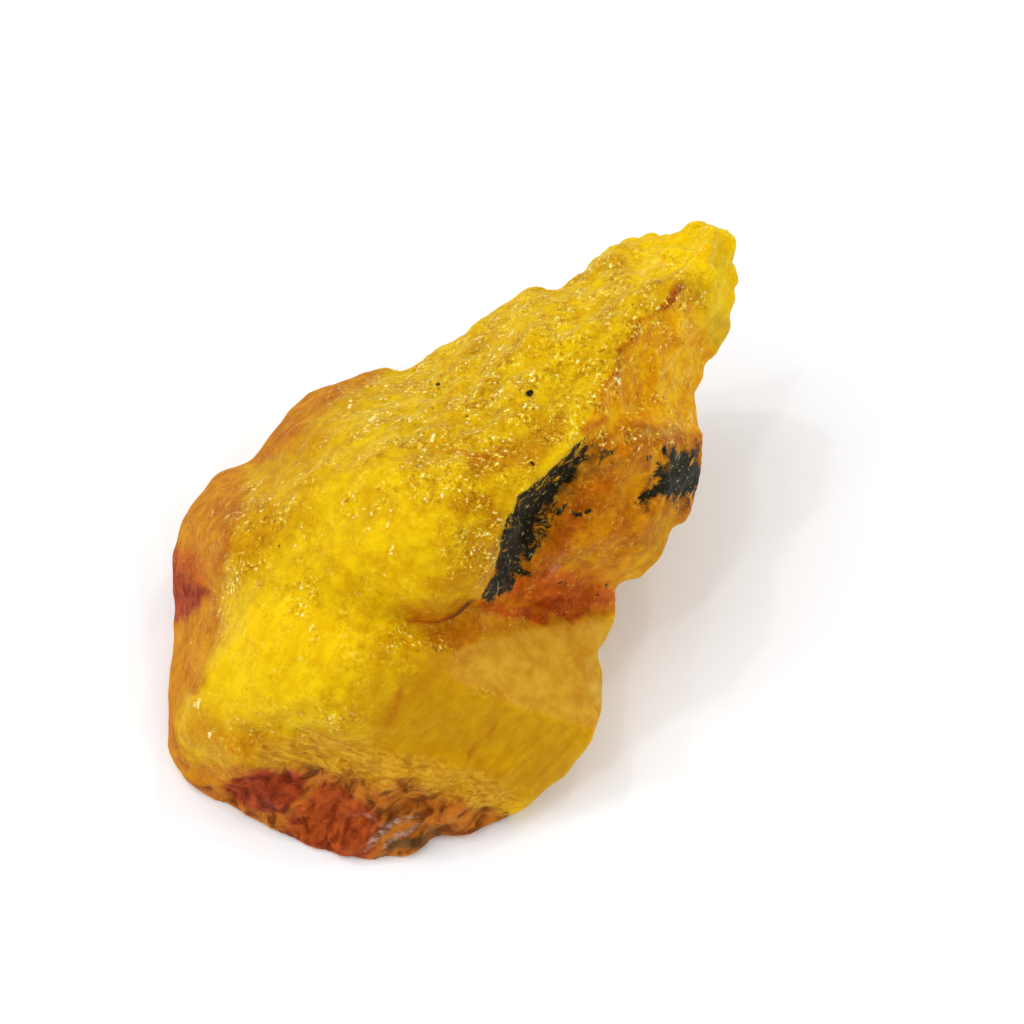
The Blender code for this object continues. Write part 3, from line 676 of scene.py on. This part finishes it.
class Patterns:
    """The noises that the colour, the gloss and the bumps share."""

    def __init__(self, finish):
        where = finish.place()
        self.wrinkle = finish.noise(where, 0.75, 1.5, 0.45, 0.4)
        self.crinkle = finish.noise(where, 0.29, 2, 0.6, 0.7)
        self.grit = finish.noise(where, 0.17, 1)
        self.mottle = finish.noise(where, 0.9, 4, 0.65) * 0.6 + finish.noise(where, 3.2, 3) * 0.4
        self.rag = (finish.noise(where, 0.9, 7, 0.8, 0.4) - 0.5) * 3.0
        self.streaks = finish.noise(finish.along(where, 58, 9), 0.45, 4, 0.6)
        self.clots = finish.noise(where, 0.9, 3, 0.6, 0.6)
        self.fibres = finish.noise(finish.along(where, -20, 3.2), 0.3, 4, 0.6, 0.4)
        self.shards = finish.noise(finish.along(where, 52, 2.4), 0.8, 4, 0.6, 0.4)
        self.clusters = finish.step(0.34, 0.6, finish.noise(where, 1.3, 2))
        dots = finish.step(0.34, 0.14, finish.cells(where, 0.42))
        self.sparks = dots * finish.step(0.5, 0.6, finish.noise(where, 0.55, 1))
        self.swells = finish.step(0.34, 0.66, self.mottle)


def stained(finish, patterns):
    """The stone's own gold, and each layer of finish over it."""
    streaked = finish.step(0.34, 0.66, patterns.streaks * 0.5 + patterns.mottle * 0.5)
    own_swells = {
        "olive": streaked,
        "toe": streaked,
        "root": finish.step(0.36, 0.64, patterns.shards),
        "wine": finish.step(0.34, 0.66, patterns.shards),
        "ember": finish.step(0.32, 0.66, patterns.shards),
        "fibre": finish.step(0.33, 0.66, patterns.fibres * 0.75 + patterns.mottle * 0.25),
        "ash": finish.step(0.38, 0.62, patterns.fibres),
    }
    colour = finish.blend(patterns.swells, *GOLD)
    for name, tint, strength, ragged in LAYERS:
        cover = finish.step(0.2, 0.8, finish.mask(name) + patterns.rag * ragged * 0.33) * strength
        own = finish.blend(own_swells.get(name, patterns.swells), *tint)
        colour = finish.blend(cover, colour, own)
    return colour


def glinting(finish, patterns, colour, sparkly):
    """Painted shade in the grains' hollows, dark grit, pale painted glint flecks, and the painted wet glints
    of the larger ones.
    """
    # Painted shade in the hollows of the crinkles, which are also the bump's hollows
    painted_hollow_shade = finish.step(0.47, 0.34, patterns.crinkle) * (sparkly * 0.8 + 0.1)
    colour = finish.tinted(painted_hollow_shade, colour, HOLLOW_SHADE)
    gritty = finish.mask("sugar").most(finish.mask("flank")) * 0.5
    colour = finish.tinted(finish.step(0.5, 0.36, patterns.grit) * gritty, colour, GRIT_SHADE)
    # Painted glints on the crinkles' crests, and pale painted flecks over them
    painted_glint = finish.step(0.55, 0.66, patterns.crinkle) * sparkly
    colour = finish.blend(painted_glint * 0.8, colour, PAINTED_GLINT)
    painted_flecks = finish.step(0.64, 0.7, patterns.crinkle).most(patterns.sparks)
    colour = finish.blend(painted_flecks * finish.step(0.15, 0.7, sparkly) * 0.85, colour, PAINTED_SPARK)
    # Painted wet glints in the pale spots
    painted_wet_glint = finish.step(0.45, 0.75, finish.mask("painted_glint_spots") + (patterns.crinkle - 0.5) * 1.8)
    return finish.blend(painted_wet_glint * 0.8, colour, PAINTED_SPARK)


def crusted(finish, patterns, colour):
    """The black crust, its brown fringe, its painted sheen and its painted glint flecks: the colour, and how
    far the crust covers it.
    """
    film = finish.mask("crust") + patterns.rag * 0.5 - finish.step(0.5, 0.64, patterns.clots) * 0.42
    fringe = finish.blend(patterns.swells, *FRINGE)
    colour = finish.blend(finish.step(0.26, 0.46, film) * 0.75, colour, fringe)
    # Partly the crust's own grey, partly a painted sheen on the crinkles' crests
    soot_and_sheen = finish.blend(finish.step(0.52, 0.66, patterns.crinkle), *SOOT_AND_SHEEN)
    # Pale painted glints on the crust
    painted_flecks = finish.step(0.63, 0.7, patterns.crinkle) * patterns.clusters
    soot_and_sheen = finish.blend(painted_flecks * 0.5, soot_and_sheen, PAINTED_SPARK)
    crust = finish.step(0.44, 0.56, film)
    return finish.blend(crust, colour, soot_and_sheen), crust


def stone_finish():
    finish = Finish("yellow_corundum")
    patterns = Patterns(finish)
    shader = finish.shader
    facet, sugar, fibre, root = (finish.mask(name) for name in ("facet", "sugar", "fibre", "root"))
    steep = finish.mask("steep")
    grains = sugar + finish.mask("orange") * 0.2 + finish.mask("flank") * 0.65 + fibre * 0.3
    grainy = grains.most(0.28 - root * 0.24) * (1 - facet) + finish.mask("glitter")
    # How strongly the grains sparkle: it sets their painted glints and painted hollow shade, and their real
    # gloss and bumps
    sparkly = patterns.clusters * grainy * (1 - steep * 0.6)
    colour = glinting(finish, patterns, stained(finish, patterns), sparkly)
    colour, crust = crusted(finish, patterns, colour)
    finish.feed(shader.inputs["Base Color"], colour)
    finish.feed(shader.inputs["Roughness"], 0.62 + steep * 0.3 - sparkly * 0.3 - crust * 0.15)
    calm = 1 - steep * 0.8
    broad = finish.bump(patterns.shards * root + patterns.fibres * fibre * 0.6, 0.25)
    wrinkles = patterns.wrinkle * calm * (sugar * 0.75 + 0.25) * (1 - facet)
    crinkles = patterns.crinkle * calm * (sparkly + 0.06)
    finish.feed(shader.inputs["Normal"], finish.bump(crinkles, 0.22, finish.bump(wrinkles, 0.22, broad)))
    shader.inputs["IOR"].default_value = 1.77
    shader.inputs["Specular IOR Level"].default_value = 0.09
    shader.inputs["Specular Tint"].default_value = (1.0, 0.88, 0.18, 1)
    shader.inputs["Subsurface Weight"].default_value = 0.6
    shader.inputs["Subsurface Radius"].default_value = (1.0, 0.5, 0.08)
    shader.inputs["Subsurface Scale"].default_value = 1.0 * MM
    return finish.material


# In metres
FLOOR_SIZE = 3.0
FLOOR_GAP = 0.02 * MM
LAMP_DISTANCE = 0.6
LAMP_TARGET = Vector((0, 0, 0.01))
# Each lamp: the way to it in the face's frame, its size in m and its power in W.
# The first is broad, and the small ones light the grains.
LAMPS = (
    ((-0.45, 0.6, 0.75), 0.5, 0.75),
    ((-0.75, 0.35, 0.7), 0.03, 0.22),
    ((-0.35, 0.75, 0.7), 0.03, 0.22),
    ((0.3, 0.8, 0.7), 0.03, 0.18),
    ((0.75, 0.4, 0.7), 0.03, 0.16),
    ((-0.6, -0.15, 0.8), 0.03, 0.16),
    ((-0.25, 0.3, 0.9), 0.03, 0.16),
    ((0.35, 0.2, 0.95), 0.03, 0.14),
    ((0.1, -0.2, 1.0), 0.03, 0.12),
)
SENSOR = 36.0  # mm
VIEW_DISTANCE = 0.4  # m
VIEW_HALF_WIDTH = 32 * MM
VIEW_MIDDLE = (3.875, 1.75, 0)  # mm, in the face's frame


def flat_sheet(name, size, height):
    bm = bmesh.new()
    bmesh.ops.create_grid(bm, x_segments=1, y_segments=1, size=size / 2)
    bmesh.ops.translate(bm, verts=bm.verts, vec=(0, 0, height))
    mesh = bpy.data.meshes.new(name)
    bm.to_mesh(mesh)
    bm.free()
    sheet = bpy.data.objects.new(name, mesh)
    bpy.context.scene.collection.objects.link(sheet)
    return sheet


def studio_floor():
    floor = flat_sheet("studio_floor", FLOOR_SIZE, -FLOOR_GAP)
    finish = Finish("white_paper")
    finish.shader.inputs["Base Color"].default_value = (0.95, 0.965, 0.99, 1)
    finish.shader.inputs["Roughness"].default_value = 0.9
    floor.data.materials.append(finish.material)


def soft_light(name, place, size, power):
    """A round lamp that shines on the stone."""
    light = bpy.data.lights.new(name, "AREA")
    light.shape, light.size, light.energy = "DISK", size, power
    lamp = bpy.data.objects.new(name, light)
    lamp.location = place
    lamp.rotation_euler = (LAMP_TARGET - place).to_track_quat("-Z", "Y").to_euler()
    bpy.context.scene.collection.objects.link(lamp)


def lights():
    world = bpy.data.worlds.new("studio")
    world.use_nodes = True
    background = world.node_tree.nodes["Background"]
    background.inputs["Color"].default_value = (1, 1, 1, 1)
    background.inputs["Strength"].default_value = 0.72
    bpy.context.scene.world = world
    for way, size, power in LAMPS:
        soft_light("studio_lamp", FACE_TURN @ Vector(way).normalized() * LAMP_DISTANCE, size, power)


def camera():
    """Looks straight at the broad face."""
    data = bpy.data.cameras.new("camera")
    data.sensor_width = SENSOR
    data.lens = SENSOR / 2 * VIEW_DISTANCE / VIEW_HALF_WIDTH
    data.clip_start = 0.01
    obj = bpy.data.objects.new("camera", data)
    bpy.context.scene.collection.objects.link(obj)
    pose = FACE_TURN.to_4x4()
    pose.translation = FACE_TO_REST @ Vector(VIEW_MIDDLE) + FACE_OUT * VIEW_DISTANCE
    obj.matrix_world = pose
    bpy.context.scene.camera = obj


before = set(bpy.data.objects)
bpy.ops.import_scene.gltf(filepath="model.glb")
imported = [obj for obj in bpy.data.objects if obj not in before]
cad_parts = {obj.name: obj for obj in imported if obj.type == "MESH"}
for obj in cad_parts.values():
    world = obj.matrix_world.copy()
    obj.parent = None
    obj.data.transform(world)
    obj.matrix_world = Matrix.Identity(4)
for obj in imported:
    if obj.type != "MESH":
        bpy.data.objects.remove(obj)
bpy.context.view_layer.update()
piece = stone(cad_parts["sapphire"])
piece.data.materials.append(stone_finish())
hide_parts("sapphire")
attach(piece, "root")
studio_floor()
lights()
camera()
bpy.context.scene.view_settings.view_transform = "Standard"
